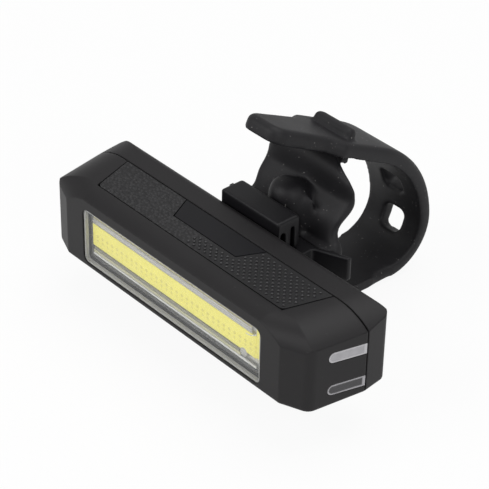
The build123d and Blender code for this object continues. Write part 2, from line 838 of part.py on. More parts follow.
# The tongue: a flat band that narrows past the hook, with the eye that the hook fills
with BuildPart() as tongue:
    with BuildSketch(tongue_plane) as tongue_outline:
        with BuildLine():
            Polyline(
                (-strap_half, 0),
                (strap_half, 0),
                (strap_half, tongue_neck_start),
                (tongue_neck_half, tongue_neck_end),
                (tongue_tip_half, tongue_length),
                (-tongue_tip_half, tongue_length),
                (-tongue_neck_half, tongue_neck_end),
                (-strap_half, tongue_neck_start),
                close=True,
            )
        make_face()
        fillet(tongue_outline.vertices().group_by(Axis.Y)[-1], radius=tongue_tip_radius)
    extrude(amount=rubber_thickness)
    outer_face = tongue.faces().sort_by(Axis(tongue_start, tongue_out))[-1]
    outer_rim = outer_face.edges().sort_by(Axis(tongue_start, tongue_along))[1:]
    chamfer(outer_rim, length=strap_bevel)
    with BuildSketch(tongue_plane):
        with BuildLine():
            ThreePointArc((-eye_half, eye_start), (0, eye_start + eye_open / 2), (eye_half, eye_start))
            ThreePointArc((eye_half, eye_start), (0, eye_start - eye_open / 2), (-eye_half, eye_start))
        make_face()
    extrude(amount=rubber_thickness + overrun, mode=Mode.SUBTRACT)

# The band round the bar: one section swept along the inner line, with its fixing holes
with BuildPart() as band:
    with BuildSketch(Plane(origin=strap_path @ 0, x_dir=(1, 0, 0), z_dir=strap_path % 0)):
        with BuildLine():
            Polyline(
                (-strap_half, 0),
                (strap_half, 0),
                (strap_half, rubber_thickness - strap_bevel),
                (strap_half - strap_bevel, rubber_thickness),
                (-strap_half + strap_bevel, rubber_thickness),
                (-strap_half, rubber_thickness - strap_bevel),
                close=True,
            )
        make_face()
    sweep(path=strap_path)
    for hole_start in hole_starts:
        hole_place = strap_path.position_at(strap_run_in + hole_start, position_mode=PositionMode.LENGTH)
        hole_along = strap_path.tangent_at(strap_run_in + hole_start, position_mode=PositionMode.LENGTH)
        hole_out = Vector(0, hole_along.Z, -hole_along.Y)
        with BuildSketch(Plane(origin=hole_place, x_dir=(1, 0, 0), z_dir=hole_out)):
            RectangleRounded(hole_width, hole_length, hole_corner)
        extrude(amount=rubber_thickness + overrun, both=True, mode=Mode.SUBTRACT)

# Saddle wall: the cradle's arc, the front wall and the tab that leans back under the strap
tab_top = strap_offset - tab_gap
tab_under = tab_top - tab_thickness
tab_end = bar_radius * tab_end_share
tab_root = bar_radius * tab_root_share
crest_reach = bar_radius * crest_share
flare_start = bar_radius * flare_start_share
flare_end = bar_radius * flare_end_share
shoulder_start = bar_radius * shoulder_start_share
shoulder_end = bar_radius * shoulder_end_share


def on_tab(level, reach):
    """A point beside the strap's straight: level from the bar's axis, reach along the strap."""
    place = tongue_out * level + tongue_along * reach
    return (place.Y, place.Z)


def on_cradle(radius, angle):
    """A point round the bar's axis."""
    return (radius * cos(radians(angle)), radius * sin(radians(angle)))


cradle_outer = bar_radius + saddle_wall
cradle_turn = cradle_end_angle - cradle_top_angle
flare_middle = ((saddle_half + waist_half) / 2, (flare_start + flare_end) / 2)

# What is cut from both sides of the saddle: it flares at the bottom and rounds in at the top
with BuildPart() as saddle_sides:
    with BuildSketch(Plane.XZ.offset(lamp_depth)):
        with BuildLine():
            lower = TangentArc((saddle_half, flare_start), flare_middle, tangent=(0, 1))
            upper = TangentArc(flare_middle, (waist_half, flare_end), tangent=lower % 1)
            side = Line(upper @ 1, (waist_half, shoulder_start))
            crest = TangentArc(side @ 1, (tab_half, shoulder_end), tangent=(0, 1))
            Polyline(
                crest @ 1,
                (tab_half, shoulder_end + saddle_half),
                (saddle_half + overrun, shoulder_end + saddle_half),
                (saddle_half + overrun, flare_start),
                (saddle_half, flare_start),
            )
        make_face()
        mirror(about=Plane.YZ)
    extrude(amount=-2 * lamp_depth)

with BuildPart() as saddle:
    with BuildSketch(Plane.YZ.offset(-saddle_half)) as saddle_section:
        with BuildLine():
            CenterArc((0, 0), bar_radius, cradle_top_angle, cradle_turn)
            CenterArc((0, 0), cradle_outer, cradle_top_angle, cradle_turn)
            Line(on_cradle(bar_radius, cradle_end_angle), on_cradle(cradle_outer, cradle_end_angle))
            Polyline(
                on_cradle(bar_radius, cradle_top_angle),
                on_tab(tab_under, tab_root),
                on_tab(tab_under, tab_end),
                on_tab(tab_top, tab_end),
                on_tab(tab_top, crest_reach),
                on_cradle(cradle_outer, cradle_top_angle),
            )
        make_face()
        crest = saddle_section.vertices().sort_by(Axis.Y)[-1]
        fillet(crest, radius=crest_round)
    extrude(amount=2 * saddle_half)
    add(saddle_sides.part, mode=Mode.SUBTRACT)
    with BuildSketch(Plane.XY.offset(tail_top)):
        with BuildLine():
            Polyline(
                (strap_half, overrun + tail_end),
                (saddle_half + overrun, overrun + tail_end),
                (saddle_half + overrun, tail_start),
                (saddle_half, tail_start),
            )
            TangentArc((saddle_half, tail_start), (strap_half, overrun + tail_end), tangent=(0, 1))
        make_face()
        mirror(about=Plane.YZ)
    extrude(amount=-saddle_half, mode=Mode.SUBTRACT)

# The foot under the saddle: a block behind the bracket, a sloping top and a round nose
lower_foot = (
    (0, wing_rear),
    (bracket_half, wing_rear),
    (foot_root_half, wing_rear + wing_sweep * (foot_root_half - bracket_half) / (wing_half - bracket_half)),
    (foot_root_half, -bar_radius),
    (0, -bar_radius),
)
foot_front = -bar_radius - foot_stand_off
foot_top = bar_radius * foot_top_share
foot_slope_end = bar_radius * foot_slope_end_share
nose_top = bar_radius * nose_top_share
upper_foot = (
    (0, foot_front),
    (foot_half, foot_front),
    (foot_upper_root_half, -bar_radius - foot_root_stand_off),
    (foot_upper_root_half, -bar_radius),
    (0, -bar_radius),
)
with BuildPart() as foot:
    with BuildSketch(Plane.XY.offset(foot_bottom)):
        Polygon(*lower_foot, align=None)
        mirror(about=Plane.YZ)
    extrude(amount=bracket_top - foot_bottom)
    with BuildSketch(Plane.XY.offset(bracket_top)):
        Polygon(*upper_foot, align=None)
        mirror(about=Plane.YZ)
    extrude(amount=foot_slope_end - bracket_top)
    with BuildSketch(Plane.YZ.offset(-saddle_half)):
        with BuildLine():
            Polyline(
                (foot_front - overrun, foot_top),
                (foot_front, foot_top),
                (-bar_radius, foot_slope_end),
                (-bar_radius, foot_slope_end + overrun),
                (foot_front - overrun, foot_slope_end + overrun),
                close=True,
            )
        make_face()
    extrude(amount=2 * saddle_half, mode=Mode.SUBTRACT)

# The round nose in front of the foot
nose_height = nose_top - bracket_top
nose_axis = -bar_radius - nose_stand_off + nose_radius
dome = tuple(
    (nose_axis - nose_radius * reach, bracket_top + nose_height * rise) for reach, rise in nose_shares
)
with BuildPart() as nose:
    with BuildSketch(Plane.YZ):
        with BuildLine():
            Polyline(
                (nose_axis, bracket_top),
                (nose_axis - nose_radius, bracket_top),
                *dome,
                (nose_axis, nose_top),
                close=True,
            )
        make_face()
    revolve(axis=Axis((0, nose_axis, 0), (0, 0, 1)))

# The hook on the tab, through the tongue's eye
stem_base = tongue_start + tongue_along * eye_start - tongue_out * (tab_gap + tab_thickness / 2)
stem_plane = Plane(origin=stem_base, x_dir=(-1, 0, 0), z_dir=tongue_out)
bar_level = tab_gap + tab_thickness / 2 + rubber_thickness + slide_gap
with BuildPart() as hook:
    with BuildSketch(stem_plane):
        Rectangle(2 * hook_stem_half, hook_stem)
    extrude(amount=bar_level)
    with BuildSketch(stem_plane.offset(bar_level)):
        RectangleRounded(2 * hook_half, hook_bar, hook_bar * hook_corner_share)
    extrude(amount=hook_height)
    chamfer(hook.faces().sort_by(Axis(stem_base, tongue_out))[-1].edges(), length=hook_round)

# Rubber strap: all of the above is one moulding
with BuildPart() as rubber_strap:
    add(saddle.part)
    add(foot.part)
    add(nose.part)
    with BuildSketch(Plane.YZ.offset(-lamp_length)):
        Circle(bar_radius)
    extrude(amount=2 * lamp_length, mode=Mode.SUBTRACT)
    add(band.part)
    add(tongue.part)
    add(hook.part)
    add(bracket_base.part, mode=Mode.SUBTRACT)
    add(foot_insert.part, mode=Mode.SUBTRACT)
    add(mount_screw.part, mode=Mode.SUBTRACT)
rubber_strap.part.label = "rubber_strap"
export_step(rubber_strap.part, "parts/rubber_strap.step")
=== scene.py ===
# %% [markdown]
# A slim bicycle headlight hangs on a rubber strap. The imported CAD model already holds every
# piece in its place. This lesson softens three of those pieces and keeps the other meshes as
# they are. Its time goes into what the eye reads: the camera, the light, the moulded finishes,
# the grip dots and the layers behind the lens.

# %% The fixed frame
from math import atan2, cos, degrees, radians, sin

import bmesh
import bpy
from mathutils import Matrix, Vector


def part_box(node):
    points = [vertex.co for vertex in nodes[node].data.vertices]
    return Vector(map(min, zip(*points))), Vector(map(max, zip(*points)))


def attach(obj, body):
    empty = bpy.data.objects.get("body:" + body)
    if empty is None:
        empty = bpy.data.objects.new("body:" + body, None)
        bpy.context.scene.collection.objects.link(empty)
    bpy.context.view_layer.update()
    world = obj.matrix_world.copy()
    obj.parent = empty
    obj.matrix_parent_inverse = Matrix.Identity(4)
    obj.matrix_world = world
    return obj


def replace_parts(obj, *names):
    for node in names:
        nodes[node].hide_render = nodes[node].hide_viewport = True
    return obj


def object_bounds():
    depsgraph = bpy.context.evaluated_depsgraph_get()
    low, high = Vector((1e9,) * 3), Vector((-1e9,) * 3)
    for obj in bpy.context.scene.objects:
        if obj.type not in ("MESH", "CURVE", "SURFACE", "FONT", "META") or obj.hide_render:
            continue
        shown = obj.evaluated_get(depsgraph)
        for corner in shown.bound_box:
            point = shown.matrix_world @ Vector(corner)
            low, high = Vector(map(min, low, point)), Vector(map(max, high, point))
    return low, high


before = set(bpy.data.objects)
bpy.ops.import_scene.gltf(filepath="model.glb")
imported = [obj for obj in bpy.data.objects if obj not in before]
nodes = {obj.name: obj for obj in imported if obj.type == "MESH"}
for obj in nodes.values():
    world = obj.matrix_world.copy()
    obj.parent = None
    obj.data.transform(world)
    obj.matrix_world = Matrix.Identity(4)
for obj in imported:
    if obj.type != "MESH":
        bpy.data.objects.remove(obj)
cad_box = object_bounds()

MM = 0.001

# %% [markdown]
# The camera comes first. The photograph was taken with a long lens from the right, above and
# in front. Its bearing, height, roll, distance and field of view were found by matching the
# lamp's corners and the round strap, so they are written here as plain measures. The picture
# is square, and the lens is given for Blender's own 36 mm sensor.

# %% Camera
camera_bearing = 47.734
camera_height = 34.833
camera_roll = 1.235
camera_place = Vector((226.52, -230.79, 216.33)) * MM
photo_side = 489
focal_pixels = 2002.48
sensor_side = 36.0

bearing, height = radians(camera_bearing), radians(camera_height)
backward = Vector((sin(bearing) * cos(height), -cos(bearing) * cos(height), sin(height)))
sideways = Vector((0, 0, 1)).cross(backward).normalized()
upward = backward.cross(sideways)
turn = Matrix((sideways, upward, backward)).transposed().to_4x4()
camera_data = bpy.data.cameras.new("photo_camera")
camera_data.sensor_width = sensor_side
camera_data.lens = sensor_side * focal_pixels / photo_side
camera_data.clip_start = MM
camera = bpy.data.objects.new("photo_camera", camera_data)
roll = Matrix.Rotation(radians(camera_roll), 4, "Z")
camera.matrix_world = Matrix.Translation(camera_place) @ turn @ roll
bpy.context.scene.collection.objects.link(camera)
bpy.context.scene.camera = camera
print("lens", round(camera_data.lens, 1), "mm")

# %% [markdown]
# Shader maths reads best as plain expressions. The class Value wraps one number socket, and
# each operator adds the Math node that does the same sum. Anything that isn't a sum comes from
# the method node, which takes the node's type, its settings and its inputs.


# %% Shader sums
class Value:
    """A number in a node tree: the operators add Math nodes."""

    def __init__(self, owner, socket):
        self.owner = owner
        self.socket = socket

    def sum(self, operation, *others):
        inputs = dict(enumerate((self,) + others))
        node = self.owner.node("ShaderNodeMath", {"operation": operation}, inputs)
        return Value(self.owner, node.outputs[0])

    def __add__(self, other):
        return self.sum("ADD", other)

    def __sub__(self, other):
        return self.sum("SUBTRACT", other)

    def __mul__(self, other):
        return self.sum("MULTIPLY", other)

    def __truediv__(self, other):
        return self.sum("DIVIDE", other)

    def __rsub__(self, other):
        return (self * -1) + other

    __radd__ = __add__
    __rmul__ = __mul__

    def above(self, level, soft):
        """0 below level, 1 above it, over a soft width."""
        return ((self - level) / soft + 0.5).clamped()

    def clamped(self):
        return self.sum("MAXIMUM", 0.0).sum("MINIMUM", 1.0)

    def size(self):
        return self.sum("ABSOLUTE")

    def part_of(self, step):
        """How far the number is from the middle of its step, from -0.5 to 0.5 steps."""
        return (self / step).sum("FRACT") - 0.5


class Nodes:
    """The node tree of a material or a world."""

    def __init__(self, owner):
        owner.use_nodes = True
        self.tree = owner.node_tree

    def node(self, kind, settings=None, inputs=None):
        """Adds one node of any type."""
        made = self.tree.nodes.new(kind)
        for name, value in (settings or {}).items():
            setattr(made, name, value)
        for name, value in (inputs or {}).items():
            self.feed(made.inputs[name], value)
        return made

    def feed(self, socket, value):
        """Links a socket or a Value, or sets a constant."""
        if isinstance(value, Value):
            value = value.socket
        if isinstance(value, bpy.types.NodeSocket):
            self.tree.links.new(value, socket)
        elif isinstance(value, tuple) and len(value) == 3 and socket.type == "RGBA":
            socket.default_value = (*value, 1)
        else:
            socket.default_value = value


class Paint(Nodes):
    """A material, with x, y and z in millimetres and the textures used here."""

    def __init__(self, name):
        self.material = bpy.data.materials.new(name)
        super().__init__(self.material)
        self.shader = self.tree.nodes["Principled BSDF"]
        self.place = self.node("ShaderNodeTexCoord").outputs["Object"]
        parts = self.node("ShaderNodeSeparateXYZ", {}, {0: self.place})
        self.x, self.y, self.z = (Value(self, parts.outputs[i]) * (1 / MM) for i in range(3))

    def noise(self, grain_mm, detail=2.0, rough=0.5):
        """Noise whose grains are about that many millimetres across."""
        node = self.node("ShaderNodeTexNoise", {}, {
            "Vector": self.place, "Scale": 1 / (grain_mm * MM),
            "Detail": detail, "Roughness": rough,
        })
        return Value(self, node.outputs["Fac"])

    def streaks(self, grain_mm, times):
        """Noise drawn out along the lamp by that many times."""
        drawn_out = (1 / times, 1, 1)
        along = self.node("ShaderNodeMapping", {}, {"Vector": self.place, "Scale": drawn_out})
        node = self.node("ShaderNodeTexNoise", {}, {
            "Vector": along.outputs["Vector"], "Scale": 1 / (grain_mm * MM), "Detail": 2.0,
        })
        return Value(self, node.outputs["Fac"])

    def cells(self, grain_mm):
        """Distance from the middle of small cells, in cells."""
        node = self.node("ShaderNodeTexVoronoi", {}, {
            "Vector": self.place, "Scale": 1 / (grain_mm * MM),
        })
        return Value(self, node.outputs["Distance"])

    def blend(self, mask, low, high):
        """Low where the mask is 0, high where it is 1."""
        node = self.node("ShaderNodeMix", {"data_type": "RGBA"})
        self.feed(node.inputs["Factor"], mask)
        self.feed(node.inputs["A"], low)
        self.feed(node.inputs["B"], high)
        return node.outputs["Result"]

    def bump(self, height, depth_mm, round_mm=0.0):
        """Bumps that are that many millimetres high, over edges that are that round."""
        node = self.node("ShaderNodeBump", {}, {"Distance": depth_mm * MM, "Height": height})
        if round_mm:
            rounded = self.node("ShaderNodeBevel", {"samples": 6}, {"Radius": round_mm * MM})
            self.feed(node.inputs["Normal"], rounded.outputs["Normal"])
        self.feed(self.shader.inputs["Normal"], node.outputs["Normal"])

    def finish(self, **inputs):
        """Sets the shader's inputs by name and gives the material."""
        for name, value in inputs.items():
            self.feed(self.shader.inputs[name.replace("_", " ")], value)
        return self.material


print("shader tools ready")

# %% [markdown]
# The housing is moulded in black ABS. The tool was spark eroded, so the skin has a very fine
# grain, and the gloss changes a little from place to place. A few grains of dust catch the
# light. The clip and the bracket are the same plastic with a darker skin and a wider grain.


# %% Moulded plastic
def moulded_plastic(name, tone, grain_mm, grain_depth, gloss, edge_round):
    paint = Paint(name)
    cloud = paint.noise(9.0)
    grain = paint.noise(grain_mm, 3.0, 0.6)
    speck = paint.noise(0.55, 1.0).above(0.76, 0.03)
    light = tuple(channel * 1.25 for channel in tone)
    dust = tuple(channel * 2.6 for channel in tone)
    skin = paint.blend(cloud, tone, light)
    paint.bump(grain, grain_depth, edge_round)
    return paint.finish(
        Base_Color=paint.blend(speck * 0.5, skin, dust),
        Roughness=gloss + cloud * 0.08 + grain * 0.06,
        Specular_IOR_Level=0.26,
    )


housing_tone = (0.0099, 0.0091, 0.0099)
clip_tone = (0.0054, 0.0051, 0.0062)
housing_plastic = moulded_plastic("housing_plastic", housing_tone, 0.16, 0.012, 0.40, 0.4)
clip_plastic = moulded_plastic("clip_plastic", clip_tone, 0.25, 0.008, 0.38, 0.0)
print("moulded plastics", housing_plastic.name, clip_plastic.name)

# %% [markdown]
# The strap is silicone rubber. It is duller than the housing, its colour is a touch greyer
# where it has been handled, and it picks up lint, which shows as small pale specks. The seals
# are the same rubber in a plainer black, without lint.


# %% Rubber
def soft_rubber(name, tone, lint):
    paint = Paint(name)
    cloud = paint.noise(7.0, 3.0)
    grain = paint.noise(0.22, 3.0, 0.65)
    pits = paint.noise(1.1, 2.0)
    patches = paint.noise(3.5, 1.0).above(0.52, 0.1)
    specks = paint.noise(0.42, 0.0).above(0.80, 0.02) * patches * lint
    worn = tuple(channel * 1.7 for channel in tone)
    paint.bump(grain * 0.6 + pits * 0.4, 0.03)
    return paint.finish(
        Base_Color=paint.blend(specks, paint.blend(cloud, tone, worn), (0.16, 0.155, 0.15)),
        Roughness=0.46 + cloud * 0.14,
        Specular_IOR_Level=0.28,
    )


strap_rubber = soft_rubber("strap_rubber", (0.0072, 0.0068, 0.0079), 0.9)
seal_rubber = soft_rubber("seal_rubber", (0.006, 0.006, 0.006), 0.0)
print("rubbers", strap_rubber.name, seal_rubber.name)

# %% [markdown]
# The top panel has two skins. Its left part carries a fine pebble grain, with a painted
# highlight on each pebble's top, and its right part carries raised dots in staggered rows, which
# are made as real shapes further down. The power button at its back is smooth, so a thumb finds it.

# %% Panel and button
panel_low, panel_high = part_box("top_panel")
pebble_size = 0.62
pebble_depth = 0.16
pebbles_end = 2.0


def panel_skin():
    paint = Paint("panel_skin")
    pebbles = paint.cells(pebble_size)
    fine = paint.noise(0.15, 2.0)
    left = 1 - paint.x.above(pebbles_end, 6.0)
    # The pebble tops are painted paler: a painted highlight.
    pebble_highlight = (1 - pebbles).above(0.62, 0.4) * left
    skin = paint.blend(paint.noise(6.0), (0.0060, 0.0058, 0.0066), (0.0100, 0.0097, 0.0106))
    tone = paint.blend(pebble_highlight * 0.7, skin, (0.036, 0.035, 0.037))
    paint.bump((1 - pebbles).clamped() * (left * 0.85 + 0.15) + fine * 0.25, pebble_depth)
    return paint.finish(Base_Color=tone, Roughness=0.44 + fine * 0.1, Specular_IOR_Level=0.31)


def dot_skin():
    """The grip dots: rubber with a painted highlight on top of each dot."""
    paint = Paint("dot_skin")
    patch_noise = paint.noise(2.5, 2.0)
    # The pale tops are a painted highlight, broken up by patchy noise.
    top = paint.z.above(panel_high.z / MM + 0.1, 0.08)
    paint.bump(paint.noise(0.2, 2.0), 0.02)
    return paint.finish(
        Base_Color=paint.blend(top * patch_noise, (0.013, 0.0125, 0.0135), (0.09, 0.088, 0.092)),
        Roughness=0.36 + patch_noise * 0.1,
        Specular_IOR_Level=0.36,
    )


def button_skin():
    paint = Paint("button_skin")
    cloud = paint.noise(5.0)
    paint.bump(paint.noise(0.2, 2.0), 0.006)
    tone = paint.blend(cloud, (0.0030, 0.0028, 0.0042), (0.0048, 0.0046, 0.0062))
    return paint.finish(Base_Color=tone, Roughness=0.40 + cloud * 0.08, Specular_IOR_Level=0.22)


grip_skin = panel_skin()
pad_skin = button_skin()
dot_rubber = dot_skin()
print("panel", [round(v / MM, 1) for v in panel_low], [round(v / MM, 1) for v in panel_high])

# %% [markdown]
# The light strip is a row of chips under yellow phosphor gel. The gel is even and bright, with
# two faint spots over each chip, one above the other. A little emission is painted light: it
# makes up for the shade behind the lens, so the gel keeps its bright yellow.

# %% Light strip
strip_low, strip_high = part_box("cob_strip")
strip_middle = (strip_low.z + strip_high.z) / 2 / MM
chip_pitch = 1.45
upper_spots = 0.15
lower_spots = -0.85


def phosphor_gel():
    paint = Paint("phosphor_gel")
    near = paint.x.part_of(chip_pitch).size() * chip_pitch
    upper = (paint.z - (strip_middle + upper_spots)).size()
    lower = (paint.z - (strip_middle + lower_spots)).size()
    upper_spot = (1 - (near + upper).above(0.42, 0.25)) * 0.42
    spot = upper_spot + (1 - (near + lower).above(0.36, 0.25)) * 0.32
    cloud = paint.noise(4.0)
    gel = paint.blend(cloud, (0.90, 0.82, 0.12), (0.95, 0.88, 0.17))
    tone = paint.blend(spot, gel, (0.50, 0.42, 0.07))
    paint.bump(paint.noise(0.8), 0.05)
    # The emission is painted light against the shade behind the lens.
    return paint.finish(
        Base_Color=tone, Roughness=0.42 + cloud * 0.1, Emission_Color=tone, Emission_Strength=0.15,
    )


phosphor = phosphor_gel()
print("strip middle", round(strip_middle, 2), "mm")

# %% [markdown]
# Round the strip sits a bright metallised frame. Its lower part looks dark through the lens,
# because there it mirrors the black pocket wall, and its right end mirrors the yellow strip.
# The colour follows the height and the length of the lamp, in millimetres.

# %% Bright frame and light board
dark_below = strip_middle - 3.35
yellow_above = strip_middle - 2.6
yellow_from = 22.55


def mirror_frame():
    paint = Paint("mirror_frame")
    streak = paint.streaks(0.5, 30)
    lines = (paint.z + streak * 0.5).part_of(0.8).size() * 2
    low_part = 1 - paint.z.above(dark_below, 0.25)
    yellow_end = paint.x.above(yellow_from, 0.2) * paint.z.above(yellow_above, 0.3)
    silver = paint.blend(lines, (0.66, 0.66, 0.64), (0.40, 0.40, 0.39))
    dark = paint.blend(lines, (0.12, 0.118, 0.098), (0.30, 0.295, 0.255))
    tone = paint.blend(low_part, silver, dark)
    tone = paint.blend(yellow_end, tone, (0.90, 0.80, 0.16))
    paint.bump(lines, 0.05)
    return paint.finish(Base_Color=tone, Roughness=0.22 + streak * 0.15, Metallic=0.35)


def light_board():
    paint = Paint("light_board")
    cloud = paint.noise(2.5)
    paint.bump(cloud, 0.02)
    return paint.finish(
        Base_Color=paint.blend(cloud, (0.62, 0.62, 0.58), (0.74, 0.74, 0.70)),
        Roughness=0.35 + cloud * 0.1,
    )


bright_frame = mirror_frame()
board_white = light_board()
print("frame finishes", bright_frame.name, board_white.name)

# %% [markdown]
# The lens is clear polycarbonate. True refraction would swallow most of the light on its way in
# and back, so the lens is a see-through skin with its own gloss. The side windows show little
# of what lies behind them, so they stay solid: a frosted pale core in the upper ones, a dark
# core in the clear lower ones, and a painted highlight as a pale rim round both.

# %% Clear plastics
window_nose_place = -36.5
window_fall = 0.09
window_rim = 0.88
window_tail = 6.2
upper_nose_level = 4.15
lower_nose_level = -2.95


def clear_plastic(name, cover, tone, gloss):
    paint = Paint(name)
    cloud = paint.noise(3.0)
    paint.bump(cloud, 0.02)
    paint.material.surface_render_method = "BLENDED"
    return paint.finish(
        Base_Color=paint.blend(cloud, tone, tuple(channel * 0.9 for channel in tone)),
        Roughness=gloss + cloud * 0.03,
        Alpha=cover + cloud * 0.04,
        Coat_Weight=0.4,
        Specular_IOR_Level=0.5,
    )


def window_plastic(name, core, edge, gloss, nose_level):
    """A side window: a core, and a painted highlight as an even rim round its slot."""
    paint = Paint(name)
    cloud = paint.noise(1.6, 3.0)
    rear = paint.y - window_nose_place
    middle = paint.z - (nose_level - rear * window_fall)
    ahead = (rear * -1).sum("MAXIMUM", 0.0)
    from_middle = (middle * middle + ahead * ahead).sum("SQRT")
    round_rim = (from_middle + cloud * 0.15).above(window_rim, 0.25)
    rim_highlight = round_rim.sum("MAXIMUM", rear.above(window_tail, 0.3))
    paint.bump(cloud + rim_highlight, 0.05)
    # The rim's pale tone is a painted highlight.
    return paint.finish(
        Base_Color=paint.blend(rim_highlight, paint.blend(cloud, core, tuple(c * 1.5 for c in core)), edge),
        Roughness=gloss + cloud * 0.12,
        Coat_Weight=0.3,
    )


lens_clear = clear_plastic("lens_clear", 0.10, (0.75, 0.76, 0.76), 0.04)
window_frosted = window_plastic(
    "window_frosted", (0.30, 0.295, 0.31), (0.50, 0.49, 0.51), 0.3, upper_nose_level,
)
window_clear = window_plastic(
    "window_clear", (0.012, 0.011, 0.014), (0.36, 0.35, 0.37), 0.2, lower_nose_level,
)
print("clear plastics", lens_clear.name, window_frosted.name, window_clear.name)

# %% [markdown]
# Inside the housing and behind it sit plain metal and circuit pieces. They are seldom seen, but
# the port cover opens and the screws show from behind, so each gets a finish of its own.


# %% Metal, boards and cell
def turned_metal(name, tone, gloss):
    paint = Paint(name)
    scratch = paint.noise(0.4, 4.0)
    paint.bump(scratch, 0.01)
    return paint.finish(
        Base_Color=paint.blend(scratch, tone, tuple(c * 0.8 for c in tone)),
        Roughness=gloss + scratch * 0.15,
        Metallic=1.0,
    )


def circuit_green():
    paint = Paint("circuit_green")
    track = paint.y.part_of(1.3).size().above(0.32, 0.04) * paint.noise(2.0).above(0.5, 0.05)
    tone = paint.blend(track, (0.012, 0.055, 0.022), (0.03, 0.12, 0.045))
    paint.bump(track, 0.02)
    return paint.finish(Base_Color=tone, Roughness=0.35 + track * 0.1)


def cell_wrap():
    paint = Paint("cell_wrap")
    crease = paint.noise(1.5, 4.0)
    paint.bump(crease, 0.12)
    tone = paint.blend(crease, (0.50, 0.51, 0.52), (0.62, 0.63, 0.64))
    return paint.finish(Base_Color=tone, Roughness=0.3 + crease * 0.2, Metallic=0.8)


screw_steel = turned_metal("screw_steel", (0.30, 0.30, 0.31), 0.34)
socket_steel = turned_metal("socket_steel", (0.60, 0.60, 0.61), 0.22)
circuit = circuit_green()
foil = cell_wrap()
print("hidden finishes ready")

# %% [markdown]
# Each CAD node takes its finish here, and its mesh stays as it is. The table goes from the
# finish to the nodes that wear it, because half of the finishes serve more than one node.

# %% Finishes on the CAD nodes
finishes = {
    housing_plastic: ("front_shell", "back_cover"),
    clip_plastic: ("rear_clip", "bracket_base"),
    strap_rubber: ("rubber_strap", "usb_cover"),
    seal_rubber: ("body_seal", "lens_seal"),
    grip_skin: ("top_panel",),
    pad_skin: ("power_button",),
    phosphor: ("cob_strip",),
    bright_frame: ("reflector_frame",),
    board_white: ("cob_board",),
    lens_clear: ("lens",),
    window_frosted: ("right_upper_window", "left_upper_window"),
    window_clear: ("right_lower_window", "left_lower_window"),
    screw_steel: ("case_screws", "clip_screws", "mount_screw", "foot_insert"),
    socket_steel: ("usb_socket", "tact_switch"),
    circuit: ("main_board",),
    foil: ("battery_cell",),
}
for finish, names in finishes.items():
    for name in names:
        nodes[name].data.materials.clear()
        nodes[name].data.materials.append(finish)
print("finished nodes", sum(len(names) for names in finishes.values()), "of", len(nodes))

# %% [markdown]
# New pieces are built with bmesh operators straight in the lamp's own place, so their objects
# stay at the origin. The helper below turns a bmesh into a piece that rides on a body and wears
# the finish it is given.

# %% Making a piece
def make_piece(name, shape, finish, slot, body="lamp", smooth=True):
    mesh = bpy.data.meshes.new(name)
    bmesh.ops.recalc_face_normals(shape, faces=shape.faces[:])
    shape.to_mesh(mesh)
    shape.free()
    for face in mesh.polygons:
        face.use_smooth = smooth
    mesh.materials.append(finish)
    piece = bpy.data.objects.new(name, mesh)
    bpy.context.scene.collection.objects.link(piece)
    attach(piece, body)
    print(name, "faces", len(mesh.polygons))
    return piece


# %% [markdown]
# The strap is one soft moulding, and on the real one no edge is sharp: the nose and the foot
# run into the saddle, and the crest is well rounded. The CAD solid gives the shape. A copy of
# its mesh is merged and rebuilt from small voxels, and then relaxed, so that each point moves
# towards its neighbours. The small tests below name the saddle's regions, in millimetres.

# %% Tools for soft shapes
strap_level = 13.2
band_half = 7.5
lean = Vector((0, 0.454, 0.891))


def rebuilt(name, node, size):
    """A closed, even mesh in the shape of a CAD node."""
    shape = bmesh.new()
    shape.from_mesh(node.data)
    bmesh.ops.remove_doubles(shape, verts=shape.verts[:], dist=0.001 * MM)
    mesh = bpy.data.meshes.new(name)
    shape.to_mesh(mesh)
    shape.free()
    holder = bpy.data.objects.new(name, mesh)
    bpy.context.scene.collection.objects.link(holder)
    remesh = holder.modifiers.new("voxels", "REMESH")
    remesh.mode = "VOXEL"
    remesh.voxel_size = size * MM
    voxels = holder.evaluated_get(bpy.context.evaluated_depsgraph_get())
    even = bpy.data.meshes.new_from_object(voxels)
    bpy.data.objects.remove(holder)
    shape = bmesh.new()
    shape.from_mesh(even)
    bpy.data.meshes.remove(even)
    return shape


def relax(shape, verts, times):
    """Moves points halfway to the middle of their neighbours, again and again."""
    for _ in range(times):
        bmesh.ops.smooth_vert(
            shape, verts=verts, factor=0.5, use_axis_x=True, use_axis_y=True, use_axis_z=True,
        )


def ramp(value, start, end):
    """0 before start, 1 after end."""
    return min(1.0, max(0.0, (value - start) / (end - start)))


def turn_of(place):
    """The angle round the bar in degrees: 0 in front of it and 90 under it."""
    return degrees(atan2(-place.z, -place.y))


def on_saddle(place):
    """The saddle's front and crest, under the tongue and above the bracket."""
    level = place.dot(lean) / MM
    return level < strap_level - 0.9 and place.z / MM > 4.6 and place.y / MM < -3.0


def on_nose(place):
    return abs(place.x) / MM < 4.6 and place.y / MM < -13.0


def on_crest(place):
    return place.z / MM > 11.5 and not on_nose(place)


def under_bar(place):
    return place.z / MM < -7 and -4 < place.y / MM < 8


print("the tongue's plane leans", round(degrees(atan2(lean.y, lean.z)), 1), "degrees")

# %% [markdown]
# First comes the crest. The photograph shows its sides further out than the solid has them, and
# furthest about 15 mm above the bar's axis. Points near the middle stay where they are.

